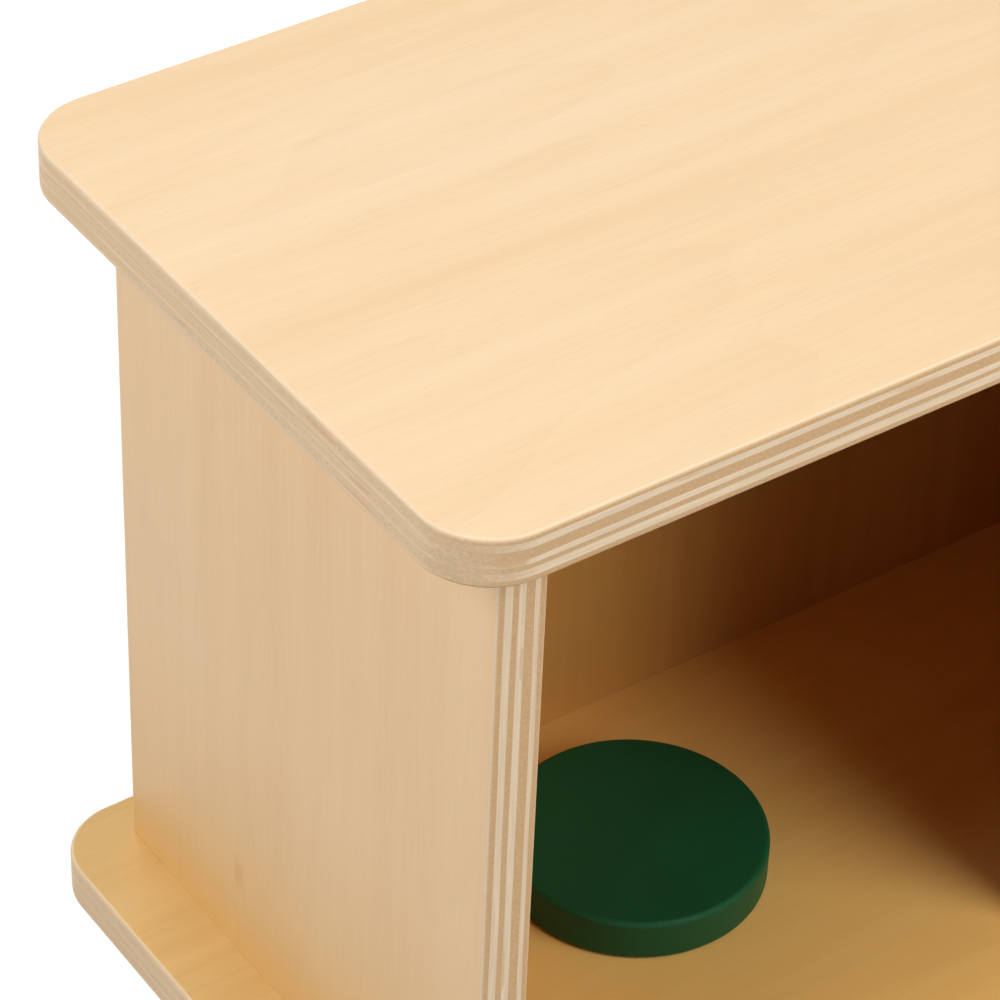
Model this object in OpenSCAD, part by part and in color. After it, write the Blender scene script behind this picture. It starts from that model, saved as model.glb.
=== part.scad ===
// Object permanence box: an open plywood box with a drop slot over its closed half and one loose disc.
// The origin is the middle of the underside. X runs to the right, Y to the rear, Z up.

/* [Boards] */
// Width of the top and bottom boards
board_w = 360; // [330:1:450]
// Depth of the top and bottom boards
board_d = 169; // [155:1:220]
// Thickness of the plywood of every panel
ply_t = 12; // [9:0.5:15]
// Corner radius of the two boards
corner_r = 16.5; // [8:0.5:24]
// Radius of the sanded arrises
arris_r = 1; // [0.5:0.1:2]

/* [Walls] */
// Clear height between the two boards
clear_h = 192; // [160:1:240]
// How far the boards stand out past each side panel
side_overhang = 18; // [12:1:26]
// How far the boards stand out past the front of the walls
front_overhang = 14.5; // [10:0.5:22]
// How far the boards stand out past the rear ends of the side panels
rear_overhang = 10.5; // [6:0.5:18]
// Clear distance from the rear ends of the side panels to the back panel
back_inset = 11; // [4:0.5:16]
// Width of the open half of the front, from the left side panel to the front panel
mouth_w = 150; // [120:1:165]

/* [Disc] */
// Diameter of the disc
disc_d = 64; // [55:1:70]
// Thickness of the disc
disc_t = 11.5; // [8:0.5:13]
// Radius of the disc's rounded rims
disc_rim_r = 1.5; // [0.5:0.1:2.5]
// Place of the disc's middle across the open half, as a share of its width
disc_across_share = 0.545; // [0.35:0.005:0.65]
// Place of the disc's middle behind the front of the walls, as a share of the clear depth
disc_depth_share = 0.575; // [0.45:0.005:0.6]
// Air between the disc and the floor that it slides on
disc_air = 0.1; // [0.05:0.05:0.3]

/* [Drop slot] */
// Room in the slot along the disc's diameter
slot_spare_l = 9; // [6:0.5:14]
// Room in the slot across the disc's thickness
slot_spare_w = 3; // [2:0.5:6]
// Radius of the slot's eased upper and lower rims, cut as a flare
slot_flare = 1; // [0.5:0.1:2]

/* [Dowels] */
// Diameter of a dowel pin
dowel_d = 6; // [4:0.5:6]
// Length of a dowel pin
dowel_l = 25; // [20:1:30]
// Depth of the dowel hole in a board's or panel's face
dowel_face_depth = 8; // [5:0.5:8.5]
// Radial air round a dowel pin
dowel_fit = 0.05; // [0.01:0.01:0.1]
// Air at each end of a dowel pin
dowel_end_air = 0.5; // [0.2:0.1:1]
// Chamfer at the ends of a dowel pin
dowel_chamfer = 0.8; // [0.4:0.1:1.2]
// Number of dowel pins along a side panel
side_dowels = 3; // [2:1:4]
// Number of dowel pins along the back panel
back_dowels = 4; // [2:1:5]
// Number of dowel pins along the front panel
front_dowels = 3; // [2:1:4]
// Number of dowel pins up each end of the back and front panels
end_dowels = 3; // [2:1:4]
// First and last dowel pin of a row, as a share of the row's length
dowel_end_share = 0.14; // [0.1:0.01:0.2]

/* [Screws] */
// Number of screws into each side panel
side_screws = 3; // [2:1:4]
// Number of screws into the back panel
back_screws = 4; // [2:1:5]
// Number of screws into the front panel
front_screws = 2; // [2:1:4]
// First and last screw of a row, as a share of the row's length
screw_end_share = 0.24; // [0.22:0.01:0.3]
// Diameter of a screw's shank
screw_d = 4; // [3:0.5:4.5]
// Length of a screw with its head
screw_l = 40; // [30:1:50]
// Diameter of a screw's countersunk head
screw_head_d = 8; // [6.5:0.5:9]
// How far a screw's head lies below the underside
screw_sink = 0.3; // [0.1:0.1:1]
// Radial air round a screw
screw_fit = 0.05; // [0.01:0.01:0.1]
// Length of a screw's point
screw_point_l = 4; // [3:0.5:6]
// Width of a head's cross recess across its arms
recess_w = 4.4; // [3:0.1:5]
// Thickness of one arm of the cross recess
recess_arm = 0.9; // [0.6:0.1:1.2]
// Depth of the cross recess
recess_depth = 1.6; // [1:0.1:2]

/* [Hidden] */
$fn = 96;
cut = 1;                                         // overrun of the cuts past a face

front_y = -board_d / 2 + front_overhang;         // front of the walls
rear_y = board_d / 2 - rear_overhang;            // rear ends of the side panels
wall_d = rear_y - front_y;                       // depth of a side panel
left_x = -board_w / 2 + side_overhang;           // outer face of the left side panel
right_x = board_w / 2 - side_overhang;           // outer face of the right side panel
inner_left_x = left_x + ply_t;
inner_right_x = right_x - ply_t;
floor_z = ply_t;
ceiling_z = floor_z + clear_h;
back_y = rear_y - back_inset - ply_t;            // inner face of the back panel
mouth_x = inner_left_x + mouth_w;                // free end of the front panel

slot_l = disc_d + slot_spare_l;
slot_w = disc_t + slot_spare_w;
slot_x = (mouth_x + inner_right_x) / 2;          // the slot is in the middle of the closed half
slot_y = (front_y + ply_t + back_y) / 2;

dowel_hole_d = dowel_d + 2 * dowel_fit;
dowel_edge_depth = dowel_l + 2 * dowel_end_air - dowel_face_depth;
screw_hole_d = screw_d + 2 * screw_fit;
screw_head_h = (screw_head_d - screw_d) / 2;     // a 90 degree countersink
screw_tip_d = screw_d / 8;

// Places of a row of count fixings along a run, from its start
function row(start, length, count, share) =
    [for (i = [0:count - 1]) start + length * (share + (1 - 2 * share) * i / (count - 1))];

side_run = row(front_y, wall_d, side_dowels, dowel_end_share);
back_run = row(inner_left_x, inner_right_x - inner_left_x, back_dowels, dowel_end_share);
front_run = row(mouth_x, inner_right_x - mouth_x, front_dowels, dowel_end_share);
height_run = row(floor_z, clear_h, end_dowels, dowel_end_share);
side_screw_run = row(front_y, wall_d, side_screws, screw_end_share);
back_screw_run = row(inner_left_x, inner_right_x - inner_left_x, back_screws, screw_end_share);
front_screw_run = row(mouth_x, inner_right_x - mouth_x, front_screws, screw_end_share);

left_mid_x = left_x + ply_t / 2;
right_mid_x = right_x - ply_t / 2;
back_mid_y = back_y + ply_t / 2;
front_mid_y = front_y + ply_t / 2;

// Where every dowel pin under the top board and every screw in the base stands, as points on the plan
left_top_plan = [for (y = side_run) [left_mid_x, y]];
right_top_plan = [for (y = side_run) [right_mid_x, y]];
back_top_plan = [for (x = back_run) [x, back_mid_y]];
front_top_plan = [for (x = front_run) [x, front_mid_y]];
left_screw_plan = [for (y = side_screw_run) [left_mid_x, y]];
right_screw_plan = [for (y = side_screw_run) [right_mid_x, y]];
back_screw_plan = [for (x = back_screw_run) [x, back_mid_y]];
front_screw_plan = [for (x = front_screw_run) [x, front_mid_y]];

// A rectangle whose four corners are rounded by radius r
module rounded_rect(w, d, r) {
    square([w - 2 * r, d], center = true);
    square([w, d - 2 * r], center = true);
    for (sx = [-1, 1], sy = [-1, 1])
        translate([sx * (w / 2 - r), sy * (d / 2 - r)])
            circle(r);
}

// A board with round corners and sanded rims: two crossed bars, and a turned post in each corner
module eased_board(w, d, t, r, rim) {
    translate([-w / 2 + r, 0, t / 2])
        rotate([90, 0, 90])
            linear_extrude(w - 2 * r)
                rounded_rect(d, t, rim);
    translate([0, d / 2 - r, t / 2])
        rotate([90, 0, 0])
            linear_extrude(d - 2 * r)
                rounded_rect(w, t, rim);
    for (sx = [-1, 1], sy = [-1, 1])
        translate([sx * (w / 2 - r), sy * (d / 2 - r), t / 2])
            rotate_extrude()
                half_profile(r, t, rim);
}

// Half of a turned piece of radius r and height t, with rounded rims
module half_profile(r, t, rim) {
    translate([0, -t / 2])
        square([r - rim, t]);
    translate([0, -t / 2 + rim])
        square([r, t - 2 * rim]);
    for (s = [-1, 1])
        translate([r - rim, s * (t / 2 - rim)])
            circle(rim, $fn = 32);
}

// Holes for dowel pins that go up into a board from the level z, or down into a panel's edge
module upright_dowel_holes(plan, z, up, down) {
    for (p = plan)
        translate([p[0], p[1], z - down])
            cylinder(d = dowel_hole_d, h = up + down);
}

// Dowel pins from the face of the panel at x, on its side -1 or 1, into the end of the panel at y
module level_dowels(x, side, y) {
    for (z = height_run)
        translate([x + side * (dowel_face_depth - dowel_end_air), y, z])
            rotate([0, -side * 90, 0])
                dowel();
}

// Holes for those pins, of one depth into the face and another into the end
module level_dowel_holes(x, side, y, into_face, into_end) {
    for (z = height_run)
        translate([x + side * into_face, y, z])
            rotate([0, -side * 90, 0])
                cylinder(d = dowel_hole_d, h = into_face + into_end);
}

// A dowel pin that stands on its end, with both ends chamfered
module dowel() {
    narrow_d = dowel_d - 2 * dowel_chamfer;
    cylinder(d1 = narrow_d, d2 = dowel_d, h = dowel_chamfer);
    translate([0, 0, dowel_chamfer])
        cylinder(d = dowel_d, h = dowel_l - 2 * dowel_chamfer);
    translate([0, 0, dowel_l - dowel_chamfer])
        cylinder(d1 = dowel_d, d2 = narrow_d, h = dowel_chamfer);
}

module top_dowels(plan) {
    for (p = plan)
        translate([p[0], p[1], ceiling_z + dowel_face_depth - dowel_end_air - dowel_l])
            dowel();
}

// A countersunk wood screw, head down, with a cross recess
module screw() {
    difference() {
        union() {
            cylinder(d1 = screw_head_d, d2 = screw_d, h = screw_head_h);
            translate([0, 0, screw_head_h])
                cylinder(d = screw_d, h = screw_l - screw_head_h - screw_point_l);
            translate([0, 0, screw_l - screw_point_l])
                cylinder(d1 = screw_d, d2 = screw_tip_d, h = screw_point_l);
        }
        for (turn = [0, 90])
            rotate(turn)
                translate([-recess_w / 2, -recess_arm / 2, -cut])
                    cube([recess_w, recess_arm, recess_depth + cut]);
    }
}

module base_screws(plan) {
    for (p = plan)
        translate([p[0], p[1], screw_sink])
            screw();
}

// Screw hole from the underside, through the base and on into the panel that stands on it
module screw_holes(plan) {
    for (p = plan)
        translate([p[0], p[1], -cut]) {
            cylinder(d = screw_hole_d, h = screw_l + screw_sink + dowel_end_air + cut);
            cylinder(d = screw_head_d + 2 * screw_fit, h = cut + screw_sink);
            translate([0, 0, cut + screw_sink])
                cylinder(d1 = screw_head_d + 2 * screw_fit, d2 = screw_hole_d, h = screw_head_h);
        }
}

// The drop slot with round ends, flared at both faces of the board
module slot_cut() {
    reach = slot_l / 2 - slot_w / 2;
    translate([slot_x, slot_y, ceiling_z]) {
        for (s = [-1, 1])
            translate([s * reach, 0, 0])
                rotate_extrude()
                    slot_half_profile();
        translate([-reach, 0, 0])
            rotate([90, 0, 90])
                linear_extrude(2 * reach) {
                    slot_half_profile();
                    mirror([1, 0])
                        slot_half_profile();
                }
    }
}

// Half of the slot's cross-section, from its middle outwards and from below the board to above it
module slot_half_profile() {
    half = slot_w / 2;
    polygon([
        [0, -cut], [half + slot_flare + cut, -cut], [half, slot_flare],
        [half, ply_t - slot_flare], [half + slot_flare + cut, ply_t + cut], [0, ply_t + cut]
    ]);
}

// A standing panel, whose four upright arrises are sanded
module wall(x, y, w, d) {
    translate([x + w / 2, y + d / 2, floor_z])
        linear_extrude(clear_h)
            rounded_rect(w, d, arris_r, $fn = 32);
}

module base_board() {
    color("burlywood")
        difference() {
            eased_board(board_w, board_d, ply_t, corner_r, arris_r);
            screw_holes(left_screw_plan);
            screw_holes(right_screw_plan);
            screw_holes(back_screw_plan);
            screw_holes(front_screw_plan);
        }
}

module top_board() {
    color("bisque")
        difference() {
            translate([0, 0, ceiling_z])
                eased_board(board_w, board_d, ply_t, corner_r, arris_r);
            slot_cut();
            for (plan = [left_top_plan, right_top_plan, back_top_plan, front_top_plan])
                upright_dowel_holes(plan, ceiling_z, dowel_face_depth, cut);
        }
}

module left_side_panel() {
    color("wheat")
        difference() {
            wall(left_x, front_y, ply_t, wall_d);
            upright_dowel_holes(left_top_plan, ceiling_z, cut, dowel_edge_depth);
            screw_holes(left_screw_plan);
            level_dowel_holes(inner_left_x, -1, back_mid_y, dowel_face_depth, cut);
        }
}

module right_side_panel() {
    color("wheat")
        difference() {
            wall(inner_right_x, front_y, ply_t, wall_d);
            upright_dowel_holes(right_top_plan, ceiling_z, cut, dowel_edge_depth);
            screw_holes(right_screw_plan);
            level_dowel_holes(inner_right_x, 1, back_mid_y, dowel_face_depth, cut);
            level_dowel_holes(inner_right_x, 1, front_mid_y, dowel_face_depth, cut);
        }
}

module back_panel() {
    color("tan")
        difference() {
            translate([inner_left_x, back_y, floor_z])
                cube([inner_right_x - inner_left_x, ply_t, clear_h]);
            upright_dowel_holes(back_top_plan, ceiling_z, cut, dowel_edge_depth);
            screw_holes(back_screw_plan);
            level_dowel_holes(inner_left_x, -1, back_mid_y, cut, dowel_edge_depth);
            level_dowel_holes(inner_right_x, 1, back_mid_y, cut, dowel_edge_depth);
        }
}

module front_panel() {
    color("wheat")
        difference() {
            wall(mouth_x, front_y, inner_right_x - mouth_x, ply_t);
            upright_dowel_holes(front_top_plan, ceiling_z, cut, dowel_edge_depth);
            screw_holes(front_screw_plan);
            level_dowel_holes(inner_right_x, 1, front_mid_y, cut, dowel_edge_depth);
        }
}

module drop_disc() {
    color("darkgreen")
        translate([
            inner_left_x + mouth_w * disc_across_share,
            front_y + (back_y - front_y) * disc_depth_share,
            floor_z + disc_air + disc_t / 2
        ])
            rotate_extrude($fn = 128)
                half_profile(disc_d / 2, disc_t, disc_rim_r);
}

module left_top_dowels() { color("peru") top_dowels(left_top_plan); }
module right_top_dowels() { color("peru") top_dowels(right_top_plan); }
module back_top_dowels() { color("peru") top_dowels(back_top_plan); }
module front_top_dowels() { color("peru") top_dowels(front_top_plan); }
module back_left_dowels() { color("peru") level_dowels(inner_left_x, -1, back_mid_y); }
module back_right_dowels() { color("peru") level_dowels(inner_right_x, 1, back_mid_y); }
module front_right_dowels() { color("peru") level_dowels(inner_right_x, 1, front_mid_y); }
module left_base_screws() { color("silver") base_screws(left_screw_plan); }
module right_base_screws() { color("silver") base_screws(right_screw_plan); }
module back_base_screws() { color("silver") base_screws(back_screw_plan); }
module front_base_screws() { color("silver") base_screws(front_screw_plan); }

base_board();
top_board();
left_side_panel();
right_side_panel();
back_panel();
front_panel();
drop_disc();
left_top_dowels();
right_top_dowels();
back_top_dowels();
front_top_dowels();
back_left_dowels();
back_right_dowels();
front_right_dowels();
left_base_screws();
right_base_screws();
back_base_screws();
front_base_screws();
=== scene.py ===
import math
from functools import partial

import bmesh
import bpy
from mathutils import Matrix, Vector


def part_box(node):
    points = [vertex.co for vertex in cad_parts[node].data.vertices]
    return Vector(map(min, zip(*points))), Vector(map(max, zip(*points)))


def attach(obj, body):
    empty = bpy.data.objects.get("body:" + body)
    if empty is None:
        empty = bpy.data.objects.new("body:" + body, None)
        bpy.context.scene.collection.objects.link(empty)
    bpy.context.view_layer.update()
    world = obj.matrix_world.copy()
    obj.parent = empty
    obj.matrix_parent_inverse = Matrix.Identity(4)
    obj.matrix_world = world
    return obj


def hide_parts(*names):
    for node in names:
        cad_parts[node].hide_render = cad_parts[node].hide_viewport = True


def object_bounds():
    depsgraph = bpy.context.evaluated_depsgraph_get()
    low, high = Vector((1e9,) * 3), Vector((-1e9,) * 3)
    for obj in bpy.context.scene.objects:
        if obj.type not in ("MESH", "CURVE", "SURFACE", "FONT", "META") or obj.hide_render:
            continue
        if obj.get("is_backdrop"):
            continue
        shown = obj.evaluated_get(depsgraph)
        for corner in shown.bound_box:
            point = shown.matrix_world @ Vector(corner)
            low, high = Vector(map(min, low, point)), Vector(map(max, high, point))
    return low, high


# Object permanence box: birch plywood boards and panels round one loose green disc.
# Lengths are in metres, X runs to the right, Y to the rear and Z up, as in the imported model.

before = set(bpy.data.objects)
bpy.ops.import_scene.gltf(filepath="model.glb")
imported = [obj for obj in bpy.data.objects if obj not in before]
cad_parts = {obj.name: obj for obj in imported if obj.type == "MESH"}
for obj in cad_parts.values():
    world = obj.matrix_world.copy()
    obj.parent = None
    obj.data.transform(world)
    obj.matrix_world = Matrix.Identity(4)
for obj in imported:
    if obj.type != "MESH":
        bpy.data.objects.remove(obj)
cadLow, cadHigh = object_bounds()
mm = 0.001
print("frame loaded:", len(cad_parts), "nodes")


# small tools for modelling

def selectOnly(piece):
    bpy.ops.object.select_all(action="DESELECT")
    piece.select_set(True)
    bpy.context.view_layer.objects.active = piece


def pickEdges(piece, fits):
    # in edit mode: selects the edges whose two end points fit
    bpy.ops.mesh.select_mode(type="EDGE")
    bpy.ops.mesh.select_all(action="DESELECT")
    shape = bmesh.from_edit_mesh(piece.data)
    for edge in shape.edges:
        edge.select_set(fits(edge.verts[0].co, edge.verts[1].co))
    bmesh.update_edit_mesh(piece.data)


def applyModifier(piece, kind, **settings):
    selectOnly(piece)
    modifier = piece.modifiers.new(kind.lower(), kind)
    for key, value in settings.items():
        setattr(modifier, key, value)
    bpy.ops.object.modifier_apply(modifier=modifier.name)


def settle(piece):
    # puts the place into the mesh, and leaves the object at the origin
    selectOnly(piece)
    bpy.ops.object.transform_apply(location=True, rotation=True, scale=True)


def polish(piece, angle=32):
    # round parts shade smoothly, while wide flat faces stay flat up to their rims
    selectOnly(piece)
    bpy.ops.object.shade_smooth_by_angle(angle=math.radians(angle))
    applyModifier(piece, "WEIGHTED_NORMAL", mode="FACE_AREA", weight=50, keep_sharp=True)


def turned(name, profile, sides):
    # a round piece on the Z axis, extruded ring by ring: profile lists radius and height
    bpy.ops.object.select_all(action="DESELECT")
    radius, height = profile[0]
    bpy.ops.mesh.primitive_circle_add(
        vertices=sides, radius=radius, fill_type="NGON", location=(0, 0, height))
    piece = bpy.context.object
    piece.name = name
    settle(piece)
    bpy.ops.object.mode_set(mode="EDIT")
    bpy.ops.mesh.select_all(action="SELECT")
    for nextRadius, nextHeight in profile[1:]:
        bpy.ops.mesh.extrude_region_move(
            TRANSFORM_OT_translate={"value": (0, 0, nextHeight - height)})
        share = nextRadius / radius
        bpy.ops.transform.resize(value=(share, share, 1), center_override=(0, 0, nextHeight))
        radius, height = nextRadius, nextHeight
    bpy.ops.mesh.select_all(action="SELECT")
    bpy.ops.mesh.fill_holes(sides=0)
    bpy.ops.mesh.normals_make_consistent(inside=False)
    bpy.ops.object.mode_set(mode="OBJECT")
    return piece


def copied(source, places, turn=(0, 0, 0)):
    # one copy with its own mesh at each place
    copies = []
    for place in places:
        twin = source.copy()
        twin.data = source.data.copy()
        bpy.context.scene.collection.objects.link(twin)
        twin.location = place
        twin.rotation_euler = turn
        settle(twin)
        copies.append(twin)
    return copies


def joined(name, pieces):
    bpy.ops.object.select_all(action="DESELECT")
    for piece in pieces:
        piece.select_set(True)
    bpy.context.view_layer.objects.active = pieces[0]
    bpy.ops.object.join()
    whole = bpy.context.object
    whole.name = whole.data.name = name
    return whole


def discard(*pieces):
    for piece in pieces:
        bpy.data.objects.remove(piece)


def carve(piece, cutters):
    # takes the cutters' shapes out of the piece
    tool = joined("cutter", cutters)
    applyModifier(piece, "BOOLEAN", operation="DIFFERENCE", solver="EXACT",
                  use_self=True, object=tool)
    discard(tool)


def rowOf(node, axis, count):
    # the middles of the fixings of a node, which stand in one even row along an axis
    low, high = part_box(node)
    middle = (low + high) / 2
    around = [i for i in range(3) if i != axis]
    radius = min((high[i] - low[i]) / 2 for i in around)
    first, last = low[axis] + radius, high[axis] - radius
    points = []
    for i in range(count):
        point = middle.copy()
        point[axis] = first + (last - first) * i / (count - 1)
        points.append(point)
    return points


# small tools for materials

def tint(code):
    # an sRGB hex colour as linear light
    shares = [int(code[i:i + 2], 16) / 255 for i in (0, 2, 4)]
    return [s / 12.92 if s <= 0.04045 else ((s + 0.055) / 1.055) ** 2.4 for s in shares] + [1]


def addNode(tree, kind, feeds=(), **settings):
    # adds a node with its settings, and with what feeds it: a node, one of its sockets or a value
    node = tree.nodes.new("ShaderNode" + kind)
    for key, value in settings.items():
        setattr(node, key, value)
    for key, feed in feeds.items() if isinstance(feeds, dict) else enumerate(feeds):
        if isinstance(feed, bpy.types.Node):
            feed = next(socket for socket in feed.outputs if socket.enabled)
        if isinstance(feed, bpy.types.NodeSocket):
            tree.links.new(feed, node.inputs[key])
        else:
            node.inputs[key].default_value = feed
    return node


def newMaterial(name):
    material = bpy.data.materials.new(name)
    material.use_nodes = True
    tree = material.node_tree
    return material, tree, tree.nodes["Principled BSDF"]


def wear(piece, material, body, slot, *nodes):
    # gives a finished piece its material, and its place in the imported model
    piece.data.materials.clear()
    piece.data.materials.append(material)
    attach(piece, body)
    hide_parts(*nodes)


# birch plywood: rotary-peeled veneers glued crosswise, sanded and sealed with satin lacquer.
# The eye gets a pale, faintly figured face, and edges of pale long grain and tan end grain
# by turns.

birch = {
    "facePale": "FDDFB6",
    "faceWarm": "F8D4A4",
    # painted shade: the two inner colours darken the veneer that faces the inside of the box
    "shadedInnerPale": "DBA459",   # the veneer that faces the inside of the box
    "shadedInnerWarm": "CD9347",
    "longPale": "FDE4C2",    # long grain on the edges
    "longWarm": "F6DAB5",
    "endPale": "E3BC8E",     # end grain on the edges
    "endDark": "DEB380",
    "flameDark": "D9A873",
    "poreDark": "B5834F",
    "glueDark": "A98357",
    "knotOrange": "E39C50",
    # rubbed: the paler colour of sanded arrises, also a painted highlight along them
    "rubbed": "FFEBCF",
    # how much of each mark shows
    "flameShare": 0.06,
    "poreShare": 0.14,
    "glueShare": 0.25,
    "spliceShare": 0.5,
    # painted shade: how much the honey shade shows on the floor inside the box and at the left
    # panel's foot
    "shadeHoneyShare": 0.6,
    "knotShare": 0.34,
    "rubbedShare": 0.55,
    "faceSwing": 0.035,      # how far the fibres lighten and darken a face
    "edgeSwing": 0.14,
    # millimetres, and shares of them along, across and through the plies
    "fibreWidth": 0.55,
    "fibreStretch": 0.03,    # a fibre is some 30 times as long as wide
    "streakWidth": 9.0,
    "figureWidth": 38.0,     # across one flame of the peeled veneer
    "figureStretch": (0.14, 1, 0.2),
    "flameCount": 7,         # rings that the peeling knife crosses from one tone to the other
    "poreWidth": 0.35,
    "poreStretch": (3.2, 1, 1),
    "spliceStretch": (1.2, 0.05, 0.4),
    "plyApart": 90.0,        # between the places in the log that two tones are cut from
    "glueWander": 0.34,      # how far a glue line strays along an edge
    "glueWaves": (0.022, 0.022, 0.4),
    "glueHalf": 0.07,        # drawn a little thicker than real so that it shows
    "knotDepth": 1.5,
    "fibreRelief": 0.018,
    "poreRelief": -0.03,
    "endRelief": -0.03,
    "bumpShare": 0.6,
    "roughness": 0.46,
    "roughSwing": 0.06,
    "endRougher": 0.12,
}


def plywood(name, low, high, look):
    values = {**birch, **look}
    colour = {key: tint(value) for key, value in values.items()
              if isinstance(value, str) and len(value) == 6}
    material, tree, shader = newMaterial(name)
    add = partial(addNode, tree)
    grain, across, through = ("XYZ".index(letter) for letter in look["axes"])
    thick = (high[through] - low[through]) / mm

    # u runs along the face grain, v across it and w through the plies, in millimetres
    place = add("TexCoord")
    inMm = add("Mapping", {"Vector": place.outputs["Object"], "Scale": [1 / mm] * 3,
                           "Location": [-c / mm for c in low]})
    sides = add("SeparateXYZ", [inMm]).outputs
    facing = add("SeparateXYZ", [place.outputs["Normal"]]).outputs
    u, v, w = sides[grain], sides[across], sides[through]
    faceU, faceV, faceW = (add("Math", [facing[axis]], operation="ABSOLUTE")
                           for axis in (grain, across, through))
    onEdge = add("Math", [1.0, faceW], operation="SUBTRACT")
    sheet = add("CombineXYZ", [u, v, w])
    cutFrom = add("VectorMath", [sheet, [look["seed"] * far for far in (131, 57, 19)]],
                  operation="ADD")

    # which ply a point lies in: red tells cross plies, green each ply's own tone, blue the glue
    waves = add("VectorMath", [cutFrom, values["glueWaves"]], operation="MULTIPLY")
    wander = add("TexNoise", {"Vector": waves, "Scale": 1.0, "Detail": 1.0})
    stray = add("MapRange", {0: wander, 3: -values["glueWander"], 4: values["glueWander"]})
    stray = add("Math", [stray, onEdge], operation="MULTIPLY")
    depth = add("Math", [w, stray], operation="ADD")
    stack = add("ValToRGB", [add("Math", [depth, thick], operation="DIVIDE")])
    half, tones = values["glueHalf"], look["tones"]
    stops = [(0, 0, tones[0], 0)]
    for i, line in enumerate(look["plies"]):
        here, after = i % 2, (i + 1) % 2
        stops += [(line - half, here, tones[i], 0),
                  (line, 0.5, (tones[i] + tones[i + 1]) / 2, 1),
                  (line + half, after, tones[i + 1], 0)]
    stack.color_ramp.interpolation = "LINEAR"
    for i, (line, isCross, tone, isGlue) in enumerate(stops):
        ends = stack.color_ramp.elements
        stop = ends[i] if i < len(ends) else ends.new(1)
        stop.position, stop.color = line / thick, (isCross, tone, isGlue, 1)
    cross, tone, glue = add("SeparateColor", [stack.outputs["Color"]]).outputs
    endGrain = add("Mix", {0: cross, 2: faceU, 3: faceV}, data_type="FLOAT")

    # space stretched along each ply's own grain, so that fibres run right on every side
    stretch = values["fibreStretch"]
    alongFace = add("VectorMath", [cutFrom, (stretch, 1, 1)], operation="MULTIPLY")
    acrossFace = add("VectorMath", [cutFrom, (1, stretch, 1)], operation="MULTIPLY")
    stretched = add("Mix", {0: cross, 4: alongFace, 5: acrossFace}, data_type="VECTOR")
    apart = add("Math", [tone, values["plyApart"]], operation="MULTIPLY")
    inPly = add("VectorMath", [stretched, add("CombineXYZ", [apart])], operation="ADD")
    fibre = add("TexNoise", {"Vector": inPly, "Scale": 1 / values["fibreWidth"],
                             "Detail": 2.0, "Roughness": 0.62})
    streak = add("TexNoise", {"Vector": inPly, "Scale": 1 / values["streakWidth"],
                              "Detail": 2.0, "Roughness": 0.5})

    # flames of the peeled face: contour lines of one slow, long noise
    slow = add("VectorMath", [cutFrom, values["figureStretch"]], operation="MULTIPLY")
    hills = add("TexNoise", {"Vector": slow, "Scale": 1 / values["figureWidth"],
                             "Detail": 1.0, "Roughness": 0.35, "Distortion": 0.3})
    rings = add("Math", [hills, float(values["flameCount"])], operation="MULTIPLY")
    saw = add("Math", [rings], operation="FRACT")
    flame = add("Math", [saw, 4.0], operation="POWER")

    # pores: short dark dashes, some ten times as long as wide
    poreSpace = add("VectorMath", [inPly, values["poreStretch"]], operation="MULTIPLY")
    poreNoise = add("TexNoise", {"Vector": poreSpace, "Scale": 1 / values["poreWidth"],
                                 "Detail": 1.0, "Roughness": 0.4})
    pore = add("MapRange", {0: poreNoise, 1: 0.70, 2: 0.80})

    # short splices and filled gaps inside the plies, which only the edges show
    cuts = add("VectorMath", [inPly, values["spliceStretch"]], operation="MULTIPLY")
    cutNoise = add("TexNoise", {"Vector": cuts, "Scale": 0.9, "Detail": 1.0})
    splice = add("MapRange", {0: cutNoise, 1: 0.66, 2: 0.70})
    splice = add("Math", [splice, onEdge], operation="MULTIPLY")

    # colour of the face, of long grain and of end grain
    mood = add("Mix", {0: 0.45, 2: streak, 3: hills}, data_type="FLOAT")
    warmth = add("MapRange", {0: mood, 1: 0.34, 2: 0.68})
    edgeMood = add("Mix", {0: 0.55, 2: warmth, 3: tone}, data_type="FLOAT")
    face = add("Mix", {0: warmth, 6: colour["facePale"], 7: colour["faceWarm"]},
               data_type="RGBA")
    if "shadedInnerSide" in look:
        # painted shade: the veneer towards the inside of the box gets a darker honey colour,
        # standing in for the shade inside the box
        start, end = look["shadedInnerSide"]
        inside = add("MapRange", {0: w, 1: start * thick, 2: end * thick})
        shadedInnerFace = add("Mix", {0: warmth, 6: colour["shadedInnerPale"], 7: colour["shadedInnerWarm"]},
                        data_type="RGBA")
        face = add("Mix", {0: inside, 6: face, 7: shadedInnerFace}, data_type="RGBA")
    longGrain = add("Mix", {0: edgeMood, 6: colour["longPale"], 7: colour["longWarm"]},
                    data_type="RGBA")
    cutGrain = add("Mix", {0: edgeMood, 6: colour["endPale"], 7: colour["endDark"]},
                   data_type="RGBA")
    # on the short edges, across the face grain, sanding evens the plies out
    evened = add("Math", [faceU, look.get("evened", 0.0)], operation="MULTIPLY")
    plyTone = add("Mix", {0: evened, 2: endGrain, 3: 0.5}, data_type="FLOAT")
    edge = add("Mix", {0: plyTone, 6: longGrain, 7: cutGrain}, data_type="RGBA")
    wood = add("Mix", {0: add("Math", [faceW, 2.0], operation="POWER"), 6: edge, 7: face},
               data_type="RGBA")

    # darker marks on it: how much of each, and where
    marks = [(flame, faceW, "flameShare", "flameDark"), (pore, 1.0, "poreShare", "poreDark"),
             (glue, onEdge, "glueShare", "glueDark"), (splice, onEdge, "spliceShare", "endDark")]
    if "paintedShadeWithin" in look:
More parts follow.
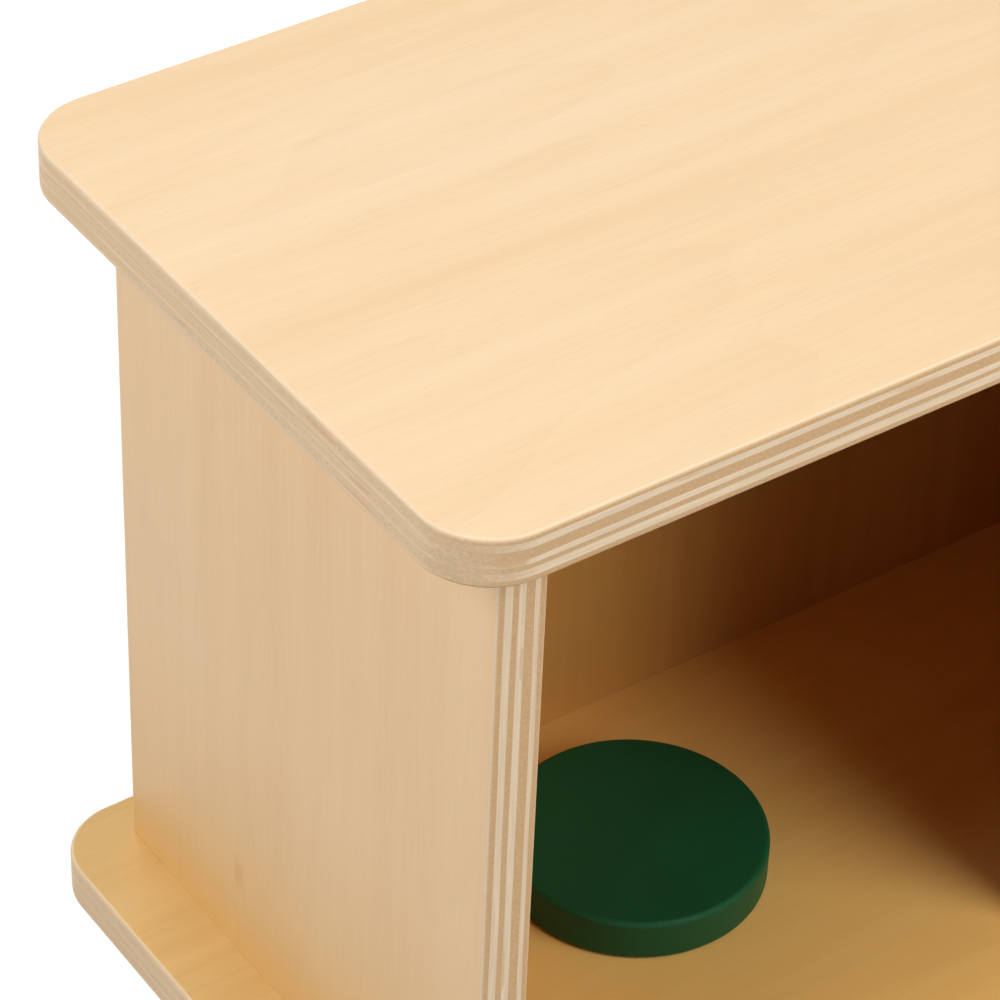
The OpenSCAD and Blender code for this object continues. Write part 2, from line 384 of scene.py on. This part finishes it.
        # painted shade: between the panels the upper face, the floor inside the box, is darkened
        # to honey
        near, far = look["paintedShadeWithin"]
        aside = add("Math", [u, (high[grain] - low[grain]) / 2 / mm], operation="SUBTRACT")
        aside = add("Math", [aside], operation="ABSOLUTE")
        between = add("MapRange", {0: aside, 1: far, 2: near})
        above = add("MapRange", {0: w, 1: 0.4 * thick, 2: 0.6 * thick})
        paintedFloorShade = add("Math", [between, above], operation="MULTIPLY")
        marks.append((paintedFloorShade, faceW, "shadeHoneyShare", "shadeHoney"))
    for reach in look.get("paintedShadeFootReach", []):
        # painted shade: the veneer turns a darker honey towards its foot, next to the base board
        footShade = add("MapRange", {0: u, 1: reach, 2: 1.0})
        marks.append((footShade, faceW, "shadeHoneyShare", "shadeHoney"))
    for along0, across0, through0, length, width in look.get("knots", []):
        offset = add("VectorMath", [sheet, (along0, across0, through0)], operation="SUBTRACT")
        scaled = add("VectorMath", [offset, (1 / length, 1 / width, 1 / values["knotDepth"])],
                     operation="MULTIPLY")
        reach = add("VectorMath", [scaled], operation="LENGTH").outputs["Value"]
        frayed = add("Math", [fibre, 0.7, reach], operation="MULTIPLY_ADD")
        knot = add("MapRange", {0: frayed, 1: 1.35, 2: 0.7})
        marks.append((knot, faceW, "knotShare", "knotOrange"))
    for mark, where, much, key in marks:
        share = add("Math", [mark, where], operation="MULTIPLY")
        share = add("Math", [share, values[much]], operation="MULTIPLY")
        wood = add("Mix", {0: share, 6: wood, 7: colour[key]}, data_type="RGBA")

    # fibres lighten and darken, more so on the edges; sanded arrises are rubbed paler, and this
    # paler colour also paints the highlight that the arrises catch
    most = add("MapRange", {0: onEdge, 3: values["faceSwing"], 4: values["edgeSwing"]})
    least = add("Math", [most, -1.0], operation="MULTIPLY")
    swing = add("MapRange", {0: fibre, 1: 0.2, 2: 0.8, 3: least, 4: most})
    level = add("Math", [swing, 1.0], operation="ADD")
    wood = add("VectorMath", {0: wood, "Scale": level}, operation="SCALE")
    arris = add("MapRange", {0: faceW, 1: 0.55, 2: 0.8})
    flat = add("MapRange", {0: faceW, 1: 0.999, 2: 0.93})
    rubbed = add("Math", [arris, flat], operation="MULTIPLY")
    rubbed = add("Math", [rubbed, values["rubbedShare"]], operation="MULTIPLY")
    wood = add("Mix", {0: rubbed, 6: wood, 7: colour["rubbed"]}, data_type="RGBA")
    tree.links.new(wood.outputs[2], shader.inputs["Base Color"])

    # satin on the faces, drier on end grain
    rough = add("MapRange", {0: fibre, 1: 0.2, 2: 0.8,
                             3: values["roughness"] - values["roughSwing"],
                             4: values["roughness"] + values["roughSwing"]})
    dry = add("Math", [endGrain, values["endRougher"], rough], operation="MULTIPLY_ADD")
    tree.links.new(dry.outputs[0], shader.inputs["Roughness"])

    # relief, in millimetres: raised fibres, and sunken pores and end grain
    relief = add("Math", [fibre, values["fibreRelief"]], operation="MULTIPLY")
    for sunk, much in ((pore, "poreRelief"), (endGrain, "endRelief")):
        relief = add("Math", [sunk, values[much], relief], operation="MULTIPLY_ADD")
    bump = add("Bump", {"Height": relief, "Strength": values["bumpShare"], "Distance": mm})
    tree.links.new(bump.outputs[0], shader.inputs["Normal"])
    return material


# top and base boards

boardValues = {
    "cornerRadius": 16.5 * mm,
    "cornerSteps": 20,
    "arris": 1 * mm,
    "arrisSteps": 4,
    "holeSides": 32,    # of the bores for pins and screws
}


def shapeBoard(name, node):
    low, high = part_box(node)
    bpy.ops.object.select_all(action="DESELECT")
    bpy.ops.mesh.primitive_cube_add(size=1, location=(low + high) / 2, scale=high - low)
    board = bpy.context.object
    board.name = board.data.name = name
    settle(board)
    bpy.ops.object.mode_set(mode="EDIT")
    pickEdges(board, lambda a, b: abs(a.z - b.z) > mm)
    bpy.ops.mesh.bevel(offset=boardValues["cornerRadius"], affect="EDGES",
                       segments=boardValues["cornerSteps"])
    pickEdges(board, lambda a, b: abs(a.z - b.z) < mm / 10)
    bpy.ops.mesh.bevel(offset=boardValues["arris"], affect="EDGES",
                       segments=boardValues["arrisSteps"])
    bpy.ops.object.mode_set(mode="OBJECT")
    return board, low, high


dowelRows = {  # node: axis of its row, and number of pins
    "left_top_dowels": (1, 3), "right_top_dowels": (1, 3),
    "back_top_dowels": (0, 4), "front_top_dowels": (0, 3),
    "back_left_dowels": (2, 3), "back_right_dowels": (2, 3), "front_right_dowels": (2, 3),
}
screwRows = {
    "left_base_screws": (1, 3), "right_base_screws": (1, 3),
    "back_base_screws": (0, 4), "front_base_screws": (0, 2),
}
dowelValues = {
    "radius": 3 * mm, "length": 25 * mm, "chamfer": 0.8 * mm, "sides": 36,
    "fluteEvery": 3, "fluteShare": 0.92, "air": 0.05 * mm, "endAir": 0.5 * mm,
    "pale": "E2B98E", "tan": "CB9768", "fleckBrown": "8F5F3A", "fleckShare": 0.6,
    "fibresPerMm": 2.4, "flecksPerMm": 5.0, "grainStretch": 0.08, "roughness": 0.62,
}
screwValues = {
    "headRadius": 4 * mm, "shankRadius": 2 * mm, "coreRadius": 1.35 * mm, "sides": 32,
    "headHeight": 2 * mm, "length": 40 * mm, "pointLength": 4 * mm, "plainLength": 14 * mm,
    "pitch": 1.8 * mm, "recessWidth": 4.4 * mm, "recessArm": 0.9 * mm, "recessDepth": 1.6 * mm,
    "recessTaper": 0.55, "air": 0.05 * mm, "tipShare": 0.125,
    "bright": "D6D9DC", "dull": "B9BDC2", "cloudsPerMm": 0.9,
    "smoothest": 0.28, "roughest": 0.46,
}


def dowelHoles(*nodes):
    # cutters round the pins of these nodes, a little longer and wider than the pins
    cutters = []
    for node in nodes:
        axis, count = dowelRows[node]
        low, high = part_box(node)
        radius = dowelValues["radius"] + dowelValues["air"]
        reach = dowelValues["length"] / 2 + dowelValues["endAir"]
        drill = turned("drill", [(radius, -reach), (radius, reach)], boardValues["holeSides"])
        level = axis == 2
        turn = (0, math.radians(90), 0) if level else (0, 0, 0)
        cutters += copied(drill, rowOf(node, axis, count), turn)
        discard(drill)
    return cutters


def screwHoles(*nodes):
    s = screwValues
    cutters = []
    for node in nodes:
        axis, count = screwRows[node]
        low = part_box(node)[0]
        wide, narrow = s["headRadius"] + s["air"], s["shankRadius"] + s["air"]
        drill = turned("drill", [
            (wide, -low.z - mm), (wide, 0), (narrow, s["headHeight"]),
            (narrow, s["length"] + dowelValues["endAir"])], boardValues["holeSides"])
        points = [Vector((p.x, p.y, low.z)) for p in rowOf(node, axis, count)]
        cutters += copied(drill, points)
        discard(drill)
    return cutters


slotValues = {"width": 73 * mm, "depth": 14.5 * mm, "x": 75 * mm, "y": -3.5 * mm,
              "flare": 1 * mm, "endSteps": 16, "flareSteps": 4}


def cutSlot(board, low, high):
    s = slotValues
    bpy.ops.object.select_all(action="DESELECT")
    middle = Vector((s["x"], s["y"], (low.z + high.z) / 2))
    bpy.ops.mesh.primitive_cube_add(
        size=1, location=middle, scale=(s["width"], s["depth"], 3 * (high.z - low.z)))
    router = bpy.context.object
    settle(router)
    bpy.ops.object.mode_set(mode="EDIT")
    pickEdges(router, lambda a, b: abs(a.z - b.z) > mm)
    bpy.ops.mesh.bevel(offset=s["depth"] / 2 - 0.01 * mm, segments=s["endSteps"],
                       affect="EDGES")
    bpy.ops.object.mode_set(mode="OBJECT")
    carve(board, [router])
    selectOnly(board)
    bpy.ops.object.mode_set(mode="EDIT")

    def onRim(a, b):
        inside = all(abs(p.x - s["x"]) < s["width"] / 2 + mm / 10
                     and abs(p.y - s["y"]) < s["depth"] / 2 + mm / 10 for p in (a, b))
        level = abs(a.z - b.z) < mm / 100
        return inside and level and min(abs(a.z - low.z), abs(a.z - high.z)) < mm / 100

    pickEdges(board, onRim)
    bpy.ops.mesh.bevel(offset=s["flare"], segments=s["flareSteps"], affect="EDGES")
    bpy.ops.object.mode_set(mode="OBJECT")


topLook = {
    "axes": "XYZ", "seed": 3.2,
    "plies": [0.5, 1.8, 3.8, 4.9, 6.4, 8.85, 10.5, 11.74],
    "tones": [0.3, 0.75, 0.25, 0.45, 0.1, 0.6, 0.2, 0.85, 0.3],
    "evened": 0.8,
    "shadedInnerSide": (0.6, 0.4),
}
topBoard, low, high = shapeBoard("top_board_birch", "top_board")
cutSlot(topBoard, low, high)
carve(topBoard, dowelHoles("left_top_dowels", "right_top_dowels",
                           "back_top_dowels", "front_top_dowels"))
polish(topBoard)
wear(topBoard, plywood("birchPlywoodTop", low, high, topLook), "box", "birch_plywood",
     "top_board")
print("top board shaped")

baseLook = {
    "axes": "XYZ", "seed": 7.9,
    "plies": [0.28, 1.7, 3.5, 5.1, 6.8, 8.5, 10.3, 11.72],
    "tones": [0.3, 0.5, 0.2, 0.7, 0.3, 0.4, 0.15, 0.6, 0.3],
    "evened": 0.85,
    "facePale": "F2CE8C", "faceWarm": "E6BA72",
    # painted shade: the floor between the panels is darkened to honey
    "paintedShadeWithin": (150, 162), "shadeHoney": "EBB65A",
}
baseBoard, low, high = shapeBoard("base_board_birch", "base_board")
carve(baseBoard, screwHoles(*screwRows))
polish(baseBoard)
wear(baseBoard, plywood("birchPlywoodBase", low, high, baseLook), "box", "birch_plywood",
     "base_board")
print("base board shaped")


# standing panels

panelValues = {"arris": 1 * mm, "arrisSteps": 4, "endArris": 0.25 * mm, "endSteps": 2}


def shapePanel(name, node, cutters, sanded=True):
    low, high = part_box(node)
    bpy.ops.object.select_all(action="DESELECT")
    bpy.ops.mesh.primitive_cube_add(size=1, location=(low + high) / 2, scale=high - low)
    panel = bpy.context.object
    panel.name = panel.data.name = name
    settle(panel)
    bpy.ops.object.mode_set(mode="EDIT")
    if sanded:
        pickEdges(panel, lambda a, b: abs(a.z - b.z) > mm)
        bpy.ops.mesh.bevel(offset=panelValues["arris"], affect="EDGES",
                           segments=panelValues["arrisSteps"])
    pickEdges(panel, lambda a, b: abs(a.z - b.z) < mm / 10)
    bpy.ops.mesh.bevel(offset=panelValues["endArris"], affect="EDGES",
                       segments=panelValues["endSteps"])
    bpy.ops.object.mode_set(mode="OBJECT")
    carve(panel, cutters)
    polish(panel)
    return panel, low, high


panels = [
    {"name": "left_panel_birch", "node": "left_side_panel", "material": "birchPlywoodLeft",
     "dowels": ["left_top_dowels", "back_left_dowels"], "screws": ["left_base_screws"],
     "look": {"axes": "ZYX", "seed": 12.4,
              "plies": [0.3, 1.65, 3.55, 4.95, 6.75, 8.95, 10.2, 11.4],
              "tones": [0.3, 0.8, 0.5, 0.6, 0.4, 0.5, 0.9, 0.7, 0.3],
              "knots": [(24.6, 95.5, 0, 6, 2.6)],
              "facePale": "FBD7A9", "faceWarm": "F6CE9D", "shadedInnerSide": (0.4, 0.6),
              # painted shade: darker honey towards the panel's foot
              "paintedShadeFootReach": [21.0, 80.0], "shadeHoney": "E6B870"}},
    {"name": "right_panel_birch", "node": "right_side_panel", "material": "birchPlywoodRight",
     "dowels": ["right_top_dowels", "back_right_dowels", "front_right_dowels"],
     "screws": ["right_base_screws"],
     "look": {"axes": "ZYX", "seed": 21.7,
              "plies": [0.3, 1.7, 3.3, 5.0, 6.9, 8.4, 10.1, 11.7],
              "tones": [0.3, 0.6, 0.3, 0.8, 0.4, 0.5, 0.2, 0.7, 0.3],
              "knots": [(141, 52, 12, 7, 3)],
              "facePale": "F8D3A3", "faceWarm": "F2C996", "shadedInnerSide": (0.6, 0.4)}},
    {"name": "back_panel_birch", "node": "back_panel", "material": "birchPlywoodBack",
     "dowels": ["back_top_dowels", "back_left_dowels", "back_right_dowels"],
     "screws": ["back_base_screws"], "sanded": False,
     "look": {"axes": "ZXY", "seed": 31.1,
              "plies": [0.3, 1.8, 3.4, 5.2, 6.7, 8.6, 10.2, 11.7],
              "tones": [0.3, 0.6, 0.3, 0.8, 0.4, 0.5, 0.2, 0.7, 0.3],
              "knots": [(88, 236, 12, 8, 3.4), (163, 74, 12, 5, 2.2)],
              "facePale": "F5D09E", "faceWarm": "EFC48C", "shadedInnerSide": (0.6, 0.4)}},
    {"name": "front_panel_birch", "node": "front_panel", "material": "birchPlywoodFront",
     "dowels": ["front_top_dowels", "front_right_dowels"], "screws": ["front_base_screws"],
     "look": {"axes": "ZXY", "seed": 44.6,
              "plies": [0.3, 1.9, 3.5, 5.1, 7.0, 8.5, 10.3, 11.7],
              "tones": [0.3, 0.5, 0.2, 0.7, 0.3, 0.4, 0.15, 0.6, 0.3],
              "knots": [(57, 118, 0, 6, 2.8)],
              "facePale": "FAD5A6", "faceWarm": "F4CB99", "shadedInnerSide": (0.4, 0.6)}},
]
for entry in panels:
    panel, low, high = shapePanel(
        entry["name"], entry["node"],
        dowelHoles(*entry["dowels"]) + screwHoles(*entry["screws"]), entry.get("sanded", True))
    wear(panel, plywood(entry["material"], low, high, entry["look"]), "box", "birch_plywood",
         entry["node"])
    print(entry["name"], "shaped")


# the disc: sprayed with dark green water-based enamel over sanded plywood.
# The eye gets a deep satin green with a fine orange peel, a faint grain and a scuffed rim.

discValues = {
    "rimRadius": 1.5 * mm, "rimSteps": 8, "sides": 160, "faceShare": 0.93,
    "green": "0E4526", "greenLight": "154F2E", "rubbedGreen": "2C5F3E",
    "roughness": 0.5, "gloss": 0.25,
    "peelWidth": 1.4, "grainWidth": 0.8, "cloudWidth": 20,    # mm
    "grainStretch": 0.04, "grainTurn": 20, "scuffShare": 0.5, "relief": 0.012 * mm,
}


def shapeDisc():
    d = discValues
    low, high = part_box("drop_disc")
    middle, radius = (low + high) / 2, (high.x - low.x) / 2
    disc = turned("drop_disc_painted", [(radius, low.z), (radius, high.z)], d["sides"])
    bpy.ops.object.mode_set(mode="EDIT")
    pickEdges(disc, lambda a, b: abs(a.z - b.z) < mm / 10)
    bpy.ops.mesh.bevel(offset=d["rimRadius"], segments=d["rimSteps"], affect="EDGES")
    bpy.ops.mesh.select_mode(type="FACE")
    bpy.ops.mesh.select_all(action="DESELECT")
    shape = bmesh.from_edit_mesh(disc.data)
    for face in shape.faces:
        face.select_set(abs(face.normal.z) > 0.999 and len(face.verts) > 4)
    bmesh.update_edit_mesh(disc.data)
    bpy.ops.mesh.inset(thickness=radius * (1 - d["faceShare"]), use_individual=True)
    bpy.ops.object.mode_set(mode="OBJECT")
    disc.location = (middle.x, middle.y, 0)
    settle(disc)
    polish(disc)
    return disc, middle


def paintedWood(name, middle):
    d = discValues
    material, tree, shader = newMaterial(name)
    add = partial(addNode, tree)
    place = add("TexCoord")
    inMm = add("Mapping", {"Vector": place.outputs["Object"], "Scale": [1 / mm] * 3,
                           "Location": [-c / mm for c in middle]})
    facing = add("SeparateXYZ", [place.outputs["Normal"]]).outputs
    grain = add("Mapping", {"Vector": inMm, "Scale": (d["grainStretch"], 1, 1),
                            "Rotation": (0, 0, math.radians(d["grainTurn"]))})
    under = add("TexNoise", {"Vector": grain, "Scale": 1 / d["grainWidth"], "Detail": 3.0})
    peel = add("TexNoise", {"Vector": inMm, "Scale": 1 / d["peelWidth"], "Detail": 2.0})
    cloud = add("TexNoise", {"Vector": inMm, "Scale": 1 / d["cloudWidth"], "Detail": 2.0})
    film = add("Mix", {0: cloud, 6: tint(d["green"]), 7: tint(d["greenLight"])},
               data_type="RGBA")
    upright = add("Math", [facing[2]], operation="ABSOLUTE")
    bend = add("MapRange", {0: upright, 1: 0.25, 2: 0.7})
    flat = add("MapRange", {0: upright, 1: 0.98, 2: 0.75})
    rim = add("Math", [bend, flat], operation="MULTIPLY")
    scuff = add("MapRange", {0: peel, 1: 0.5, 2: 0.72, 4: d["scuffShare"]})
    rubbed = add("Math", [rim, scuff], operation="MULTIPLY")
    coat = add("Mix", {0: rubbed, 6: film, 7: tint(d["rubbedGreen"])}, data_type="RGBA")
    tree.links.new(coat.outputs[2], shader.inputs["Base Color"])
    sheen = add("MapRange", {0: cloud, 1: 0.3, 2: 0.7, 3: d["roughness"] - 0.05,
                             4: d["roughness"] + 0.07})
    tree.links.new(sheen.outputs[0], shader.inputs["Roughness"])
    shader.inputs["Specular IOR Level"].default_value = d["gloss"]
    relief = add("Math", [under, peel], operation="ADD")
    bump = add("Bump", {"Height": relief, "Strength": 0.5, "Distance": d["relief"]})
    tree.links.new(bump.outputs[0], shader.inputs["Normal"])
    return material


disc, discMiddle = shapeDisc()
wear(disc, paintedWood("greenEnamelOnPlywood", discMiddle), "disc", "painted_disc", "drop_disc")
print("disc shaped")


# dowel pins: fluted beech, pressed flutes and chamfered ends.
# The eye gets pinkish tan wood with short dark flecks along the pin.

def shapeDowel():
    d = dowelValues
    reach = d["length"] / 2
    pin = turned("pin", [(d["radius"], -reach), (d["radius"], reach)], d["sides"])
    bpy.ops.object.mode_set(mode="EDIT")
    pickEdges(pin, lambda a, b: abs(a.z - b.z) < mm / 10)
    bpy.ops.mesh.bevel(offset=d["chamfer"], segments=1, affect="EDGES")
    step = 2 * math.pi / d["sides"]

    def onFlute(a, b):
        line = round((math.atan2(a.y, a.x) % (2 * math.pi)) / step)
        upright = abs(a.z - b.z) > d["length"] / 2
        return upright and line % d["fluteEvery"] == 0

    pickEdges(pin, onFlute)
    share = d["fluteShare"]
    bpy.ops.transform.resize(value=(share, share, 1), center_override=(0, 0, 0))
    bpy.ops.object.mode_set(mode="OBJECT")
    polish(pin, 25)
    return pin


def beech(name, along):
    d = dowelValues
    material, tree, shader = newMaterial(name)
    add = partial(addNode, tree)
    stretch = [1 / mm] * 3
    stretch[along] *= d["grainStretch"]
    grain = add("Mapping", {"Vector": add("TexCoord").outputs["Object"], "Scale": stretch})
    fibre = add("TexNoise", {"Vector": grain, "Scale": d["fibresPerMm"], "Detail": 3.0})
    fleck = add("TexNoise", {"Vector": grain, "Scale": d["flecksPerMm"], "Detail": 1.0})
    wood = add("Mix", {0: fibre, 6: tint(d["pale"]), 7: tint(d["tan"])}, data_type="RGBA")
    dark = add("MapRange", {0: fleck, 1: 0.64, 2: 0.72, 4: d["fleckShare"]})
    flecked = add("Mix", {0: dark, 6: wood, 7: tint(d["fleckBrown"])}, data_type="RGBA")
    tree.links.new(flecked.outputs[2], shader.inputs["Base Color"])
    bump = add("Bump", {"Height": fibre, "Strength": 0.5, "Distance": 0.03 * mm})
    tree.links.new(bump.outputs[0], shader.inputs["Normal"])
    shader.inputs["Roughness"].default_value = d["roughness"]
    return material


pin = shapeDowel()
beechUpright, beechLevel = beech("beechDowelUpright", 2), beech("beechDowelLevel", 0)
for node, (axis, count) in dowelRows.items():
    level = axis == 2
    turn = (0, math.radians(90), 0) if level else (0, 0, 0)
    pins = joined(node + "_fluted", copied(pin, rowOf(node, axis, count), turn))
    wear(pins, beechLevel if level else beechUpright, "box", "beech", node)
discard(pin)
print("dowels shaped")


# screws: zinc-plated steel, cold-headed and rolled.
# The eye gets a bright, slightly cloudy metal.

def shapeScrew():
    s = screwValues
    head, top = s["headHeight"], s["length"]
    screw = turned("screw", [
        (s["headRadius"], 0), (s["shankRadius"], head),
        (s["shankRadius"], head + s["plainLength"]),
        (s["coreRadius"], head + s["plainLength"] + s["pitch"]),
        (s["coreRadius"], top - s["pointLength"]), (s["coreRadius"] * s["tipShare"], top)],
        s["sides"])
    arms = []
    for turn in (0, 90):
        bpy.ops.object.select_all(action="DESELECT")
        bpy.ops.mesh.primitive_cube_add(
            size=1, rotation=(0, 0, math.radians(turn)),
            scale=(s["recessWidth"], s["recessArm"], 2 * s["recessDepth"]))
        arm = bpy.context.object
        settle(arm)
        bpy.ops.object.mode_set(mode="EDIT")
        bpy.ops.mesh.select_mode(type="FACE")
        bpy.ops.mesh.select_all(action="DESELECT")
        shape = bmesh.from_edit_mesh(arm.data)
        for face in shape.faces:
            face.select_set(face.normal.z > 0.9)
        bmesh.update_edit_mesh(arm.data)
        taper = s["recessTaper"]
        bpy.ops.transform.resize(value=(taper, taper, 1),
                                 center_override=(0, 0, s["recessDepth"]))
        bpy.ops.object.mode_set(mode="OBJECT")
        arms.append(arm)
    carve(screw, arms)
    turns = int((s["length"] - s["pointLength"] - head - s["plainLength"]) / s["pitch"]) - 1
    depth = s["shankRadius"] - s["coreRadius"]
    bpy.ops.object.select_all(action="DESELECT")
    bpy.ops.mesh.primitive_circle_add(
        vertices=3, radius=depth, fill_type="NGON", rotation=(math.radians(90), 0, 0),
        location=(s["coreRadius"] + depth * 0.1, 0, head + s["plainLength"] + s["pitch"]))
    thread = bpy.context.object
    settle(thread)
    widest = max(v.co.x for v in thread.data.vertices)
    bpy.ops.object.mode_set(mode="EDIT")
    bpy.ops.mesh.select_all(action="SELECT")
    bpy.ops.transform.translate(value=(s["shankRadius"] - widest, 0, 0))
    bpy.ops.object.mode_set(mode="OBJECT")
    applyModifier(thread, "SCREW", axis="Z", angle=2 * math.pi, screw_offset=s["pitch"],
                  iterations=turns, steps=16, render_steps=16, use_normal_calculate=True)
    screw = joined("screw", [screw, thread])
    polish(screw, 40)
    return screw


def zincSteel(name):
    s = screwValues
    material, tree, shader = newMaterial(name)
    add = partial(addNode, tree)
    inMm = add("Mapping", {"Vector": add("TexCoord").outputs["Object"], "Scale": [1 / mm] * 3})
    cloud = add("TexNoise", {"Vector": inMm, "Scale": s["cloudsPerMm"], "Detail": 3.0,
                             "Roughness": 0.6})
    plating = add("Mix", {0: cloud, 6: tint(s["bright"]), 7: tint(s["dull"])},
                  data_type="RGBA")
    tree.links.new(plating.outputs[2], shader.inputs["Base Color"])
    haze = add("MapRange", {0: cloud, 1: 0.3, 2: 0.7, 3: s["smoothest"], 4: s["roughest"]})
    tree.links.new(haze.outputs[0], shader.inputs["Roughness"])
    shader.inputs["Metallic"].default_value = 1.0
    return material


screw = shapeScrew()
zinc = zincSteel("zincPlatedSteel")
for node, (axis, count) in screwRows.items():
    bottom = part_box(node)[0].z
    points = [Vector((p.x, p.y, bottom)) for p in rowOf(node, axis, count)]
    wear(joined(node + "_threaded", copied(screw, points)), zinc, "box", "zinc_steel", node)
discard(screw)
print("screws shaped")


# floor, light and camera

stageValues = {
    "floorSize": 12.0,
    "floorDrop": 0.1 * mm,    # keeps the floor's plane apart from the underside's
    "floorColour": "8F8E8C",
    "floorGlow": 0.88,
    "skyForObject": 0.03,
    # lamp: degrees to the right of straight in front, degrees up, distance, width, power
    "lamps": {
        "rearHigh": (180, 56, 1.7, 1.0, 2.6),
        "rear": (172, 16, 1.7, 1.1, 7.5),
        "frontHigh": (10.8, 65, 1.7, 0.6, 2.0),
        "front": (21, 34, 1.7, 1.2, 20.0),
        "left": (-95, 34, 1.7, 1.1, 17.4),
        "right": (95, 24, 1.7, 0.9, 7.0),
    },
    "cameraPlace": (-0.51739, -0.55643, 0.70384),
    "cameraTurn": (50.7907, -1.8274, -34.6238),
    "cameraLens": 149.84,
    "cameraSensor": 36.0,
}


def makeFloor():
    s = stageValues
    bpy.ops.object.select_all(action="DESELECT")
    bpy.ops.mesh.primitive_plane_add(size=s["floorSize"], location=(0, 0, -s["floorDrop"]))
    floor = bpy.context.object
    floor.name = "floor"
    material, tree, shader = newMaterial("paleStudioPaper")
    shader.inputs["Base Color"].default_value = tint(s["floorColour"])
    shader.inputs["Roughness"].default_value = 0.9
    shader.inputs["Emission Color"].default_value = (1, 1, 1, 1)
    path = addNode(tree, "LightPath").outputs
    seen = addNode(tree, "Math", [path["Is Camera Ray"], path["Is Glossy Ray"]],
                   operation="MAXIMUM")
    glow = addNode(tree, "Math", [seen, s["floorGlow"]], operation="MULTIPLY")
    tree.links.new(glow.outputs[0], shader.inputs["Emission Strength"])
    floor.data.materials.append(material)
    floor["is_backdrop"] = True


def makeSky():
    world = bpy.data.worlds.new("studio")
    bpy.context.scene.world = world
    world.use_nodes = True
    tree = world.node_tree
    background = tree.nodes["Background"]
    path = addNode(tree, "LightPath").outputs
    seen = addNode(tree, "Math", [path["Is Camera Ray"], path["Is Glossy Ray"]],
                   operation="MAXIMUM")
    strength = addNode(tree, "MapRange", {0: seen, 3: stageValues["skyForObject"], 4: 1.0})
    background.inputs["Color"].default_value = (1, 1, 1, 1)
    tree.links.new(strength.outputs[0], background.inputs["Strength"])


def makeLamps():
    aim = (cadLow + cadHigh) / 2
    for name, (right, up, distance, width, power) in stageValues["lamps"].items():
        right, up = math.radians(right), math.radians(up)
        way = Vector((math.sin(right) * math.cos(up), -math.cos(right) * math.cos(up),
                      math.sin(up)))
        bpy.ops.object.light_add(type="AREA", location=aim + way * distance)
        lamp = bpy.context.object
        lamp.name = name
        lamp.data.shape = "DISK"
        lamp.data.size = width
        lamp.data.energy = power
        lamp.visible_glossy = name.endswith("High")  # a low one would glare on the lacquered top
        lamp.rotation_euler = (-way).to_track_quat("-Z", "Y").to_euler()


def makeCamera():
    s = stageValues
    bpy.ops.object.camera_add(
        location=s["cameraPlace"], rotation=[math.radians(a) for a in s["cameraTurn"]])
    camera = bpy.context.object
    camera.data.lens = s["cameraLens"]
    camera.data.sensor_width = s["cameraSensor"]
    camera.data.clip_start = 0.01
    bpy.context.scene.camera = camera


makeFloor()
makeSky()
makeLamps()
makeCamera()
bpy.context.scene.view_settings.view_transform = "Standard"
print("floor, light and camera placed")

low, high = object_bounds()
